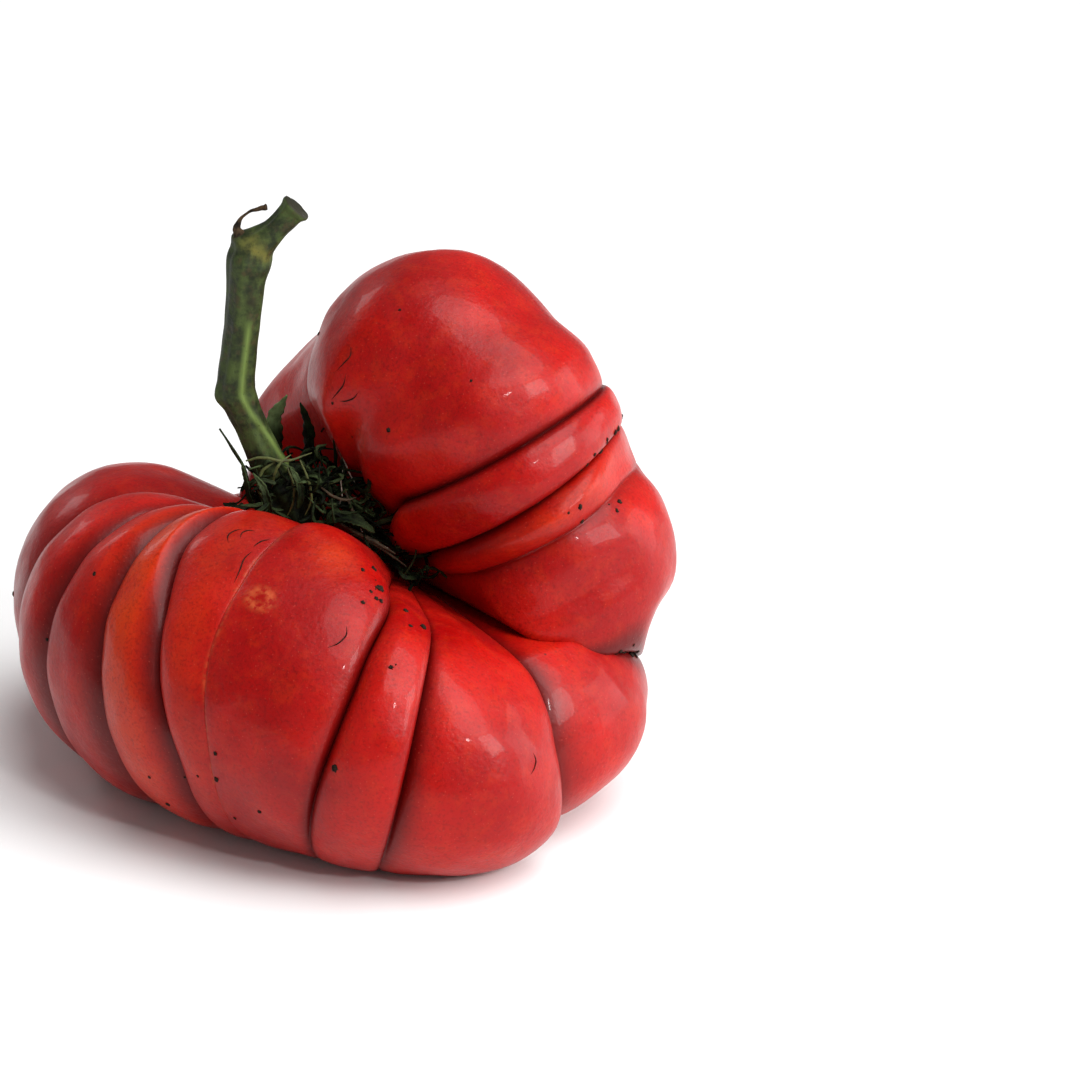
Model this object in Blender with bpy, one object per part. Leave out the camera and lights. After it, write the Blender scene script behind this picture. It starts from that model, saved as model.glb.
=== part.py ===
"""Ribbed heirloom tomato with its dry calyx and a stub of stem.

The fruit is one fold of flesh. A ring of flesh runs round the stem hollow: it
lies on the table at the front, turns up sharply on the right, arches over the
hollow and comes down behind the stem. Ribs cross the ring like the ribs of a
pumpkin, and all of them meet at the stem pole and at the blossom pole.

Lengths in the tables are millimetres. The scene is in metres, +Z up, with the
object standing on Z = 0 and its bounding box centred on the Z axis.
"""

import math

import bpy
import numpy as np

MM = 0.001
OBJECT_NAME = "heirloom_tomato"

# The middle of the object's bounding box, in the tables' own millimetres.
MIDDLE = (-2.0, 13.0)

# Centre of the ring of flesh: x, y, z, then its outward and upward radius, then
# the turn in degrees at which its section starts, inside the hollow.
RING = np.array([
    (-48.0, 34.0, 26.0, 26.0, 30.0, 155.0),    # left end
    (-37.0, 4.0, 24.5, 27.0, 28.0, 160.0),     # front left
    (-8.0, -17.0, 29.5, 29.0, 30.0, 160.0),    # big front rib
    (24.0, -31.0, 20.5, 24.0, 25.0, 145.0),    # front right
    (39.0, 7.0, 17.0, 18.0, 16.0, 90.0),       # low rib on the right
    (46.0, 15.0, 43.0, 24.0, 24.0, 140.0),     # foot of the upper arm
    (29.0, 17.0, 66.0, 25.0, 26.0, 185.0),     # middle of the upper arm
    (19.5, 24.0, 88.0, 24.0, 25.0, 150.0),     # top
    (-3.0, 52.0, 62.0, 17.0, 17.0, 140.0),     # behind the stem
    (-13.0, 60.0, 26.0, 16.0, 15.0, 90.0),     # back
    (-34.0, 54.0, 18.0, 21.0, 19.0, 110.0),    # back left
])
HEART = np.array((2.0, 16.0, 40.0))
STEM_POLE = np.array((10.0, 28.0, 38.0))
BLOSSOM_POLE = np.array((12.0, 33.0, 2.0))

# Creases between ribs: place along the ring, depth as a share of the radius,
# and softness, from 0 for a sharp fold to 1 for a shallow valley.
CREASES = np.array([
    (0.48, 0.14, 0.0),
    (0.88, 0.14, 0.0),
    (1.24, 0.13, 0.0),
    (1.58, 0.14, 0.0),
    (1.86, 0.03, 0.5),
    (2.44, 0.15, 0.0),
    (2.73, 0.17, 0.0),
    (3.33, 0.28, 0.0),
    (4.45, 0.32, 0.0),
    (5.40, 0.06, 0.3),
    (5.70, 0.14, 0.0),
    (6.05, 0.12, 0.0),
    (6.62, 0.05, 1.0),
    (7.40, 0.10, 0.2),
    (8.30, 0.16, 0.0),
    (9.00, 0.14, 0.0),
    (9.60, 0.14, 0.0),
    (10.30, 0.14, 0.0),
])
# How round a rib is between its creases: a higher power keeps it fuller.
RIB_FULLNESS = 2.2
# Share of the way down where the creases reach full depth, and where and by how
# much they fade again towards the underside.
CREASE_START = 0.12
CREASE_FADE = (0.45, 0.85)
CREASE_LOSS = 0.55
COLUMNS_PER_RIB = 6
# Part of each rib's columns that is drawn towards its two creases.
COLUMN_CROWDING = 0.65
ROWS = 36

# Each section ends under the fruit, and both its ends are drawn to the poles.
SECTION_END = -100.0
STEM_POLE_SHARE = 0.13
BLOSSOM_POLE_SHARE = 0.16

# Stem, from the calyx to its cut end: x, y, z and radius.
STEM = (
    (-14.9, 15.6, 62.2, 3.4),
    (-16.6, 15.0, 66.8, 3.2),
    (-18.4, 14.5, 71.8, 3.0),
    (-20.0, 14.0, 76.0, 3.0),
    (-21.2, 13.6, 80.0, 3.5),
    (-21.0, 13.4, 83.5, 3.4),
    (-20.0, 13.0, 90.0, 3.1),
    (-19.2, 12.5, 95.5, 3.2),
    (-18.4, 12.0, 102.0, 3.4),
    (-17.6, 12.0, 106.5, 4.0),
    (-16.0, 11.8, 109.6, 3.4),
    (-12.6, 11.2, 112.8, 2.6),
    (-10.2, 11.0, 115.3, 2.6),
    (-8.2, 11.0, 117.6, 2.9),
)
STEM_SIDES = 12

# Dried side twig on the stem's joint: x, y, z and radius.
SIDE_TWIG = (
    (-20.5, 11.8, 112.2, 1.1),
    (-20.3, 11.7, 114.0, 0.8),
    (-19.3, 11.4, 115.8, 0.4),
    (-17.2, 11.2, 117.0, 0.35),
    (-15.4, 11.0, 117.3, 0.6),
    (-14.3, 10.9, 117.5, 0.6),
)
TWIG_SIDES = 8

# Calyx base, the swelling that joins stem and fruit: x, y, z and radius.
CALYX_BASE = (
    (-14.6, 15.8, 61.3, 4.4),
    (-13.6, 15.8, 59.6, 6.0),
    (-12.4, 16.0, 56.6, 6.9),
    (-11.6, 16.2, 53.2, 6.4),
    (-11.2, 16.4, 50.0, 4.4),
)
CALYX_SIDES = 16

# Sepals: the points of each midrib, from the calyx base to the tip, and the
# half width at the widest place.
SEPALS = (
    (((-19.6, 14.4, 55.0), (-21.0, 13.6, 61.0), (-22.2, 12.4, 66.0), (-25.0, 11.0, 72.0)), 2.0),
    (((-16.0, 24.0, 57.5), (-15.4, 26.0, 63.0), (-14.6, 26.0, 69.0), (-16.4, 25.0, 75.0)), 2.2),
    (((-9.0, 24.2, 57.0), (-8.6, 25.6, 63.0), (-8.4, 26.4, 70.0), (-10.0, 26.4, 76.0)), 1.8),
    (((-19.0, 9.6, 57.4), (-21.6, 8.0, 58.6), (-24.4, 7.2, 60.4), (-26.6, 7.0, 63.4)), 1.4),
    (((-15.0, 6.8, 57.0), (-15.2, 4.2, 58.6), (-16.6, 1.6, 60.6), (-19.0, -0.6, 61.4)), 1.6),
    (((-9.6, 8.4, 57.4), (-8.8, 6.0, 59.6), (-8.6, 3.4, 61.0), (-9.8, 0.8, 62.4)), 1.6),
    (((-4.0, 8.6, 54.6), (-0.8, 7.0, 54.6), (2.4, 5.0, 54.6), (5.4, 2.2, 53.6)), 1.6),
    (((-2.2, 12.6, 53.4), (1.6, 12.0, 52.0), (5.6, 10.4, 50.2), (9.6, 7.6, 48.6)), 2.0),
    (((-2.0, 17.4, 54.0), (1.8, 17.4, 52.6), (4.6, 15.6, 50.4), (8.0, 13.2, 48.4)), 1.6),
    (((-4.4, 20.6, 57.4), (-1.8, 20.8, 60.2), (-1.2, 20.2, 63.0), (-2.2, 19.0, 66.0)), 1.4),
    (((-20.2, 20.0, 54.0), (-24.0, 22.0, 53.4), (-28.0, 24.4, 54.0), (-32.0, 26.8, 56.0)), 1.8),
    (((-12.6, 25.6, 53.0), (-12.8, 30.0, 50.0), (-14.6, 34.0, 47.6), (-18.0, 37.4, 45.0)), 1.8),
)
SEPAL_THICKNESS = 0.8
SEPAL_STATIONS = 10
# Turns every sepal's back towards the sky, however far out it grows.
SEPAL_FACING = (0.0, 0.0, 10.0)
# A sepal's width at its root as a share of its widest, and how much thinner it
# is at the tip.
SEPAL_ROOT = 0.52
SEPAL_THINNING = 0.6

RED = (0.48, 0.022, 0.014, 1.0)
STEM_GREEN = (0.055, 0.075, 0.022, 1.0)
CALYX_GREEN = (0.018, 0.028, 0.008, 1.0)
DRY_BROWN = (0.045, 0.028, 0.014, 1.0)


def clear_scene():
    """Remove every object, so that only the tomato is left."""
    for thing in list(bpy.data.objects):
        bpy.data.objects.remove(thing, do_unlink=True)


def finish(name, color, roughness):
    """One plain material."""
    material = bpy.data.materials.new(name)
    material.use_nodes = True
    shader = material.node_tree.nodes["Principled BSDF"]
    shader.inputs["Base Color"].default_value = color
    shader.inputs["Roughness"].default_value = roughness
    shader.inputs["Metallic"].default_value = 0.0
    return material


def ease(x):
    """A step from 0 to 1 with level ends."""
    x = np.clip(x, 0.0, 1.0)
    return x * x * (3.0 - 2.0 * x)


def unit(vectors):
    """The same directions at length one."""
    return vectors / np.linalg.norm(vectors, axis=-1, keepdims=True)


def ring_at(place):
    """Ring values and their slope on a closed cubic B-spline."""
    first = np.floor(place).astype(int)
    t = (place - first)[..., None]
    near = [RING[(first + k) % len(RING)] for k in (-1, 0, 1, 2)]
    weights = (
        (1 - t) ** 3 / 6,
        (3 * t ** 3 - 6 * t ** 2 + 4) / 6,
        (-3 * t ** 3 + 3 * t ** 2 + 3 * t + 1) / 6,
        t ** 3 / 6,
    )
    slopes = (
        -(1 - t) ** 2 / 2,
        (3 * t ** 2 - 4 * t) / 2,
        (-3 * t ** 2 + 2 * t + 1) / 2,
        t ** 2 / 2,
    )
    value = sum(w * row for w, row in zip(weights, near))
    slope = sum(w * row for w, row in zip(slopes, near))
    return value, slope


def crease_depth(place):
    """Share of the radius that the creases on both sides of a rib take away."""
    start = CREASES[:, 0]
    place = np.mod(place - start[0], len(RING)) + start[0]
    left = np.clip(np.searchsorted(start, place, side="right") - 1, 0, len(start) - 1)
    right = (left + 1) % len(start)
    ends = np.append(start[1:], start[0] + len(RING))
    across = (place - start[left]) / (ends[left] - start[left]) * 2 - 1
    depth = np.zeros_like(place)
    for side, crease in ((-across, left), (across, right)):
        near = np.clip(side, 0.0, 1.0)
        fold = 1 - np.sqrt(np.clip(1 - near ** RIB_FULLNESS, 0.0, 1.0))
        softness = CREASES[crease, 2]
        depth += CREASES[crease, 1] * (fold * (1 - softness) + ease(near) * softness)
    return depth


def fruit_points(place, share):
    """Skin points at a place along the ring and a share of the way down.

    Share 0 is the stem pole and share 1 the blossom pole. The skin is pressed
    flat where it meets the table.
    """
    ring, slope = ring_at(place)
    centre = ring[..., :3]
    along = unit(slope[..., :3])
    outward = centre - HEART
    outward = unit(outward - np.sum(outward * along, -1, keepdims=True) * along)
    upward = unit(np.cross(outward, along))
    turn = np.radians(ring[..., 5] + (SECTION_END - ring[..., 5]) * share)[..., None]
    skin = ring[..., 3:4] * np.cos(turn) * outward + ring[..., 4:5] * np.sin(turn) * upward
    fade = (share - CREASE_FADE[0]) / (CREASE_FADE[1] - CREASE_FADE[0])
    reach = ease(share / CREASE_START) * (1 - CREASE_LOSS * ease(fade))
    skin = centre + skin * (1 - crease_depth(place) * reach)[..., None]
    to_stem = ease(1 - share / STEM_POLE_SHARE)[..., None]
    to_blossom = ease((share - 1 + BLOSSOM_POLE_SHARE) / BLOSSOM_POLE_SHARE)[..., None]
    skin = skin * (1 - to_stem - to_blossom) + to_stem * STEM_POLE + to_blossom * BLOSSOM_POLE
    skin[..., 2] = np.maximum(skin[..., 2], 0.0)
    return skin


def rib_places():
    """Places along the ring, closer together at the creases."""
    start = CREASES[:, 0]
    ends = np.append(start[1:], start[0] + len(RING))
    step = np.arange(COLUMNS_PER_RIB) / COLUMNS_PER_RIB
    crowded = 0.5 - 0.5 * np.cos(math.pi * step)
    step += (crowded - step) * COLUMN_CROWDING
    return (start[:, None] + (ends - start)[:, None] * step).ravel()


def to_scene(points):
    """Table millimetres to scene metres, centred on the Z axis."""
    return (np.asarray(points, dtype=float) - (*MIDDLE, 0.0)) * MM


def mesh_object(name, points, faces, material, smooth=True):
    """A named object from points in scene metres."""
    mesh = bpy.data.meshes.new(name)
    mesh.from_pydata([tuple(p) for p in points], [], faces)
    mesh.validate()
    mesh.materials.append(material)
    mesh.polygons.foreach_set("use_smooth", [smooth] * len(mesh.polygons))
    thing = bpy.data.objects.new(name, mesh)
    bpy.context.scene.collection.objects.link(thing)
    return thing


def loft_faces(rings, count):
    """Faces between closed rings of points, with a pole point at each end.

    The points are the first pole, then the rings in order, then the last pole.
    """
    last = 1 + rings * count
    faces = []
    for i in range(count):
        j = (i + 1) % count
        faces.append((0, 1 + i, 1 + j))
        faces.append((last, last - count + j, last - count + i))
        for r in range(rings - 1):
            a = 1 + r * count
            b = a + count
            faces.append((a + i, b + i, b + j, a + j))
    return faces


def make_fruit(material):
    """The whole fruit as one closed loft from stem pole to blossom pole."""
    place = rib_places()
    share = np.arange(1, ROWS) / ROWS
    skin = fruit_points(*np.meshgrid(place, share))
    points = np.vstack((STEM_POLE[None], skin.reshape(-1, 3), BLOSSOM_POLE[None]))
    faces = loft_faces(len(share), len(place))
    return mesh_object("fruit", to_scene(points), faces, material)


def make_rod(name, stations, sides, material):
    """A round rod of changing radius along a route, with capped ends."""
    curve = bpy.data.curves.new(name, "CURVE")
    curve.dimensions = "3D"
    curve.bevel_depth = MM
    curve.bevel_resolution = sides // 2 - 2
    curve.use_fill_caps = True
    spline = curve.splines.new("POLY")
    spline.points.add(len(stations) - 1)
    for point, (x, y, z, radius) in zip(spline.points, stations):
        point.co = (*to_scene((x, y, z)), 1.0)
        point.radius = radius
    curve.materials.append(material)
    thing = bpy.data.objects.new(name, curve)
    bpy.context.scene.collection.objects.link(thing)
    return thing


def along_points(points, count):
    """Stations on a smooth curve through the points, and its directions."""
    route = np.array(points)
    route = np.vstack((2 * route[0] - route[1], route, 2 * route[-1] - route[-2]))
    place = np.linspace(0, len(points) - 1, count)
    first = np.minimum(place.astype(int), len(points) - 2)
    t = (place - first)[:, None]
    p0, p1, p2, p3 = (route[first + k] for k in range(4))
    where = 0.5 * (
        2 * p1 + (p2 - p0) * t
        + (2 * p0 - 5 * p1 + 4 * p2 - p3) * t ** 2
        + (3 * p1 - p0 - 3 * p2 + p3) * t ** 3
    )
    return where, unit(np.gradient(where, axis=0))


def make_sepal(name, midrib, half_width, material):
    """A pointed blade along its midrib, with a lens-shaped section."""
    where, along = along_points(midrib, SEPAL_STATIONS)
    chord = unit(where[-1] - where[0])
    facing = where[0] - np.array(CALYX_BASE[2][:3]) + SEPAL_FACING
    facing = facing - chord * np.dot(facing, chord)
    across = unit(np.cross(along, facing))
    normal = np.cross(across, along)
    t = np.linspace(0, 1, SEPAL_STATIONS)[:, None]
    width = half_width * (SEPAL_ROOT + 1.7 * t) * (1 - t) ** 0.8
    thick = SEPAL_THICKNESS / 2 * (1 - SEPAL_THINNING * t)
    rings = [
        (where[k] + width[k] * across[k], where[k] + thick[k] * normal[k],
         where[k] - width[k] * across[k], where[k] - thick[k] * normal[k])
        for k in range(SEPAL_STATIONS - 1)
    ]
    points = np.vstack((where[:1], np.reshape(rings, (-1, 3)), where[-1:]))
    faces = loft_faces(len(rings), 4)
    return mesh_object(name, to_scene(points), faces, material, smooth=False)


def gather(things):
    """Parent the pieces to one empty, in a collection of the object's name."""
    collection = bpy.data.collections.new(OBJECT_NAME)
    bpy.context.scene.collection.children.link(collection)
    root = bpy.data.objects.new(OBJECT_NAME, None)
    collection.objects.link(root)
    for thing in things:
        bpy.context.scene.collection.objects.unlink(thing)
        collection.objects.link(thing)
        thing.parent = root


def main():
    """Build the tomato."""
    clear_scene()
    skin = finish("tomato_skin", RED, 0.28)
    stem_bark = finish("stem_bark", STEM_GREEN, 0.6)
    calyx_leaf = finish("calyx_leaf", CALYX_GREEN, 0.7)
    dry_twig = finish("dry_twig", DRY_BROWN, 0.8)
    things = [
        make_fruit(skin),
        make_rod("stem", STEM, STEM_SIDES, stem_bark),
        make_rod("side_twig", SIDE_TWIG, TWIG_SIDES, dry_twig),
        make_rod("calyx_base", CALYX_BASE, CALYX_SIDES, calyx_leaf),
    ]
    for number, (midrib, half_width) in enumerate(SEPALS, start=1):
        things.append(make_sepal(f"sepal_{number:02d}", midrib, half_width, calyx_leaf))
    gather(things)


main()
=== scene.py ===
"""Ribbed heirloom tomato with its dry calyx and stub of stem, finished around its CAD frame.

The fruit is one fold of flesh: a ring of flesh round the stem hollow, crossed by ribs
that all meet at the stem pole and at the blossom pole. Tables are in millimetres, and
to_scene turns them into scene metres.
"""

import math

import bpy
import numpy as np
from bpy.props import FloatProperty, FloatVectorProperty, IntProperty, PointerProperty
from bpy.types import Operator, Panel, PropertyGroup
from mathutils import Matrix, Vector


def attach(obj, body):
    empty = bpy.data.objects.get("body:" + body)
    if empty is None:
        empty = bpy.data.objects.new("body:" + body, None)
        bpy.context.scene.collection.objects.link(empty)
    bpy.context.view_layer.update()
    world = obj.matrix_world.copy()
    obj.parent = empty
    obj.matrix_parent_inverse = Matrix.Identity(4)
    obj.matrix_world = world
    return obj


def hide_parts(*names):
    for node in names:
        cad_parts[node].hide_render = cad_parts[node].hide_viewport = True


bl_info = {
    "name": "Ribbed Heirloom Tomato",
    "version": (1, 0, 0),
    "blender": (4, 5, 0),
    "location": "View3D > Sidebar > Tomato",
    "description": "Builds a folded, ribbed tomato with its calyx and stem",
    "category": "Add Mesh",
}

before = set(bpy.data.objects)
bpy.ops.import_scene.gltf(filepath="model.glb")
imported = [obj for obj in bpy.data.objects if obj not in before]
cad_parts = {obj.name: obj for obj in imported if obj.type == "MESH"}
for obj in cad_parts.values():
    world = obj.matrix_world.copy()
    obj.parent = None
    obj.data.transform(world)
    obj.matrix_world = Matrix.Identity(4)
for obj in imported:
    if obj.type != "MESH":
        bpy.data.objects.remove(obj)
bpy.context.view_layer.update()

MM = 0.001
MIDDLE = (-2.0, 13.0)

# Ring of flesh: centre x, y, z, outward and upward radius, and the turn in degrees at
# which the section starts, inside the hollow.
RING = np.array([
    (-48.5, 34.0, 28.0, 26.5, 33.0, 155.0),    # left end
    (-37.0, 4.0, 25.5, 27.0, 29.5, 160.0),     # front left
    (-8.0, -17.0, 29.5, 29.0, 30.0, 160.0),    # big front rib
    (24.0, -31.0, 20.5, 24.0, 25.0, 145.0),    # front right
    (39.0, 7.0, 17.0, 18.0, 16.0, 90.0),       # low rib on the right
    (46.0, 15.0, 43.0, 24.0, 24.0, 140.0),     # foot of the upper arm
    (29.0, 17.0, 66.0, 25.0, 26.0, 185.0),     # middle of the upper arm
    (19.5, 24.0, 88.0, 24.0, 25.0, 150.0),     # top
    (-3.0, 52.0, 62.0, 17.0, 17.0, 140.0),     # behind the stem
    (-13.0, 60.0, 26.0, 16.0, 15.0, 90.0),     # back
    (-34.0, 54.0, 20.0, 21.0, 21.0, 110.0),    # back left
])
HEART = np.array((2.0, 16.0, 40.0))
STEM_POLE = np.array((8.0, 30.0, 36.0))
BLOSSOM_POLE = np.array((12.0, 33.0, 2.0))
SECTION_END = -100.0
STEM_POLE_SHARE = 0.11
BLOSSOM_POLE_SHARE = 0.16
CREASE_START = 0.12
CREASE_FADE = (0.42, 0.80)

# Creases between ribs: place along the ring, depth as a share of the radius, softness,
# lap in mm (above 0 the rib before it laps over the next, below 0 the other way), and
# the share of its depth that it keeps under the fruit.
CREASES = np.array([
    (0.48, 0.17, 0.0, -1.2, 0.45),
    (0.88, 0.17, 0.0, -1.2, 0.45),
    (1.24, 0.18, 0.0, -1.4, 0.45),
    (1.58, 0.20, 0.0, -1.0, 0.45),
    (1.86, 0.03, 0.3, -0.3, 0.45),
    (2.44, 0.22, 0.0, 1.4, 0.08),
    (2.68, 0.24, 0.0, 1.4, 0.15),
    (3.33, 0.32, 0.0, 1.4, 0.90),
    (4.45, 0.34, 0.0, -2.0, 0.60),
    (5.40, 0.12, 0.3, 0.0, 0.05),
    (5.70, 0.22, 0.0, -1.0, 0.15),
    (6.05, 0.15, 0.0, 0.4, 0.20),
    (6.62, 0.12, 1.0, 0.0, 0.45),
    (7.40, 0.25, 0.0, 2.2, 0.05),
    (8.30, 0.16, 0.0, 0.0, 0.05),
    (9.00, 0.14, 0.0, 0.0, 0.05),
    (9.60, 0.14, 0.0, 0.0, 0.15),
    (10.30, 0.15, 0.0, -0.8, 0.45),
])
RIB_START = CREASES[:, 0]
RIB_END = np.append(RIB_START[1:], RIB_START[0] + len(RING))
# Roundness of a rib beside a plain crease, on its lapping side and on its lapped side.
PLAIN_SIDE, LAPPING_SIDE, LAPPED_SIDE = 2.2, 3.6, 1.6

# Slant of the ribs: place, spread, share where it starts and its width, then how far
# along the ring the skin is carried above it and below it.
SLANTS = (
    (1.56, 0.36, 0.36, 0.25, 0.0, 0.17),
    (1.56, 0.14, 0.24, 0.16, -0.12, 0.0),
    (2.44, 0.12, 0.34, 0.34, 0.0, -0.06),
)

# Pushes of the flesh: place, share, spread along, spread down, then x, y, z in mm, and
# 1 where the push stays inside its own rib.
PUSHES = (
    (1.60, 0.14, 0.75, 0.17, 0.0, 0.0, 5.0, 0),
    (2.05, 0.10, 0.30, 0.12, 0.0, 0.0, 2.5, 1),
    (2.45, 0.06, 0.28, 0.09, -5.0, 0.0, 0.0, 0),
    (2.58, 0.14, 0.20, 0.16, -1.5, 0.0, -2.0, 1),
    (2.80, 0.14, 0.12, 0.20, -2.0, 0.0, 0.0, 0),
    (3.15, 0.20, 0.35, 0.20, -2.0, 0.0, -2.5, 1),
    (3.30, 0.40, 0.25, 0.16, -3.0, 0.0, 0.0, 0),
    (5.90, 0.06, 0.20, 0.08, -3.5, 0.0, -1.0, 1),
    (6.85, 0.10, 0.60, 0.12, -5.5, 0.0, 0.0, 0),
    (8.15, 0.20, 0.25, 0.16, -3.5, 0.0, 0.0, 0),
    (7.65, 0.30, 0.20, 0.20, 2.0, 0.0, -1.0, 0),
    (3.00, 0.62, 0.60, 0.25, 1.5, -3.5, 0.0, 0),
    (3.90, 0.50, 0.40, 0.30, 3.0, -1.5, 0.0, 0),
    (4.80, 0.20, 0.40, 0.14, -3.0, -2.0, -7.5, 1),
    (4.60, 0.55, 0.20, 0.14, -4.0, 0.0, 2.0, 1),
    (5.50, 0.55, 0.20, 0.14, -4.5, 0.0, -0.5, 0),
)

# Local swellings and dents: place, share, spread along, spread down, height in mm.
DENTS = (
    (6.25, 0.24, 0.18, 0.08, -0.7),
    (5.55, 0.36, 0.10, 0.10, 0.8),
    (5.05, 0.30, 0.10, 0.14, -1.5),
    (4.78, 0.20, 0.08, 0.10, -1.0),
    (2.15, 0.22, 0.22, 0.08, -0.5),
    (2.95, 0.26, 0.16, 0.10, -0.8),
    (0.38, 0.40, 0.16, 0.12, -0.5),
    (4.00, 0.30, 0.18, 0.10, -0.6),
)
COLUMNS_PER_RIB = 30
COLUMN_CROWDING = 0.7
FRUIT_ROWS = 166
# Slight unevenness of the skin: height in mm, wave length in mm, seed.
UNEVENNESS = ((0.35, 34.0, 3), (0.15, 13.0, 5))

# Tints of the skin: place, spread along, share, spread down, strength.
ORANGE_PATCHES = (
    (1.36, 0.12, 0.40, 0.32, 0.95),
    (1.20, 0.22, 0.22, 0.12, 0.45),
    (2.14, 0.10, 0.18, 0.035, 0.60),
    (1.72, 0.10, 0.40, 0.30, 0.25),
    (5.55, 0.10, 0.40, 0.20, 0.35),
)
# Painted shade deep in the cleft, where the upper arm's belly hangs over the rib below: place,
# spread, the share where it ends, strength.
PAINTED_SHADE_PATCHES = ((4.56, 0.18, 0.50, 0.70), (5.62, 0.10, 0.40, 0.35))
# How many of the first ribs get painted shade over their lapped side, and how many get a painted
# pale highlight along their left edge.
SHADED_LAPPED_RIBS, HIGHLIT_EDGE_RIBS = 5, 4
# The painted pale highlight along the top lobe's edge: its crease, and the middle of the edge.
LOBE_CREASE, LOBE_EDGE = 7.40, 7.385
# Healed marks: place of the long line, then place and share of the small ring.
SCAR_LINE = 1.865
SCAR_RING = (1.98, 0.30)

# Stem, from the calyx to its cut end: x, y, z and radius.
STEM = np.array((
    (-14.9, 15.6, 62.2, 3.6),
    (-16.6, 15.0, 66.8, 3.3),
    (-18.4, 14.5, 71.8, 3.1),
    (-20.0, 14.0, 76.0, 3.3),
    (-21.2, 13.6, 80.0, 3.7),
    (-21.0, 13.4, 83.5, 3.6),
    (-20.0, 13.0, 90.0, 3.4),
    (-19.2, 12.5, 95.5, 3.4),
    (-18.4, 12.0, 102.0, 3.6),
    (-17.6, 12.0, 106.5, 4.2),
    (-16.0, 11.8, 109.6, 3.5),
    (-12.6, 11.2, 112.8, 2.4),
    (-10.2, 11.0, 115.3, 2.4),
    (-8.2, 11.0, 117.4, 2.6),
))
SIDE_TWIG = np.array((
    (-17.4, 11.4, 107.6, 2.6),
    (-18.4, 11.3, 109.8, 1.9),
    (-19.4, 11.4, 112.0, 1.1),
    (-19.6, 11.5, 113.6, 0.65),
    (-18.6, 11.4, 115.3, 0.3),
    (-17.0, 11.2, 116.5, 0.28),
    (-15.2, 11.0, 117.1, 0.45),
    (-13.9, 10.9, 117.5, 0.6),
))
# Rings and sides of each rod.
STEM_GRID, TWIG_GRID, BASE_GRID = (200, 48), (80, 16), (60, 80)
SCRATCH_GRID, THREAD_GRID = (40, 6), (28, 8)
STEM_JOINT = 0.775
CALYX_BASE = np.array((
    (-14.6, 15.8, 61.3, 4.4),
    (-13.6, 15.8, 59.6, 6.0),
    (-12.4, 16.0, 56.6, 6.9),
    (-11.6, 16.2, 53.2, 6.4),
    (-11.2, 16.4, 50.0, 4.4),
))
# Sepals: midrib points and half width in mm, and how pale green the blade is.
SEPALS = (
    (((-17.4, 14.0, 55.2), (-19.4, 13.0, 60.0), (-20.4, 12.4, 65.0), (-24.6, 11.4, 72.8)), 1.1, 0.1),
    (((-16.0, 24.0, 57.5), (-15.2, 25.0, 64.0), (-14.8, 25.0, 70.0), (-12.4, 23.6, 75.4)), 2.4, 0.9),
    (((-9.0, 24.2, 57.0), (-8.6, 24.6, 63.0), (-8.6, 23.6, 69.0), (-9.7, 22.4, 74.2)), 1.5, 0.0),
    (((-18.6, 10.8, 56.4), (-19.4, 10.6, 59.6), (-19.8, 10.8, 62.6), (-20.6, 11.2, 66.0)), 0.8, 0.2),
    (((-15.0, 6.8, 57.0), (-15.2, 5.6, 59.4), (-16.0, 5.8, 62.6), (-18.0, 7.0, 65.2)), 0.9, 0.3),
    (((-9.6, 8.4, 57.4), (-9.0, 7.4, 60.4), (-9.4, 7.4, 63.4), (-11.0, 8.2, 66.0)), 0.9, 0.35),
    (((-4.0, 8.6, 54.6), (-0.8, 8.0, 55.4), (2.2, 7.4, 54.8), (5.4, 6.4, 53.0)), 1.6, 0.2),
    (((-2.2, 12.6, 53.4), (1.6, 12.0, 52.0), (5.6, 10.4, 50.2), (9.6, 7.6, 48.6)), 2.0, 0.0),
    (((-2.0, 17.4, 54.0), (1.8, 17.4, 52.6), (4.6, 15.6, 50.4), (8.0, 13.2, 48.4)), 1.6, 0.0),
    (((-4.4, 20.6, 57.4), (-1.8, 20.8, 60.2), (-1.2, 20.2, 63.0), (-2.2, 19.0, 66.0)), 1.4, 0.3),
    (((-20.0, 20.0, 53.0), (-22.0, 21.4, 52.0), (-24.0, 23.0, 51.6), (-26.0, 24.6, 52.0)), 1.6, 0.0),
    (((-12.6, 25.6, 53.0), (-12.8, 30.0, 50.0), (-14.6, 34.0, 47.6), (-18.0, 37.4, 45.0)), 1.8, 0.2),
)

# Points along and across a sepal and a shred.
SEPAL_GRID, SHRED_GRID = (56, 13), (14, 5)

# Heaps of small dry shreds that fill the cleft: x, y, z and spread in mm, and how many.
SHREDS = (
    (-18.0, 12.6, 59.5, 1.6, 10),
    (-13.5, 11.4, 60.5, 2.4, 26),
    (-8.5, 12.0, 60.5, 2.8, 40),
    (-4.0, 13.0, 59.5, 2.8, 40),
    (0.0, 12.0, 56.0, 2.6, 36),
    (4.5, 10.0, 52.0, 2.0, 26),
    (9.0, 8.4, 48.2, 1.6, 18),
    (13.5, 6.4, 44.0, 1.2, 8),
    (-8.0, 20.0, 61.0, 3.2, 26),
    (-3.0, 18.0, 60.0, 2.6, 20),
)

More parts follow.
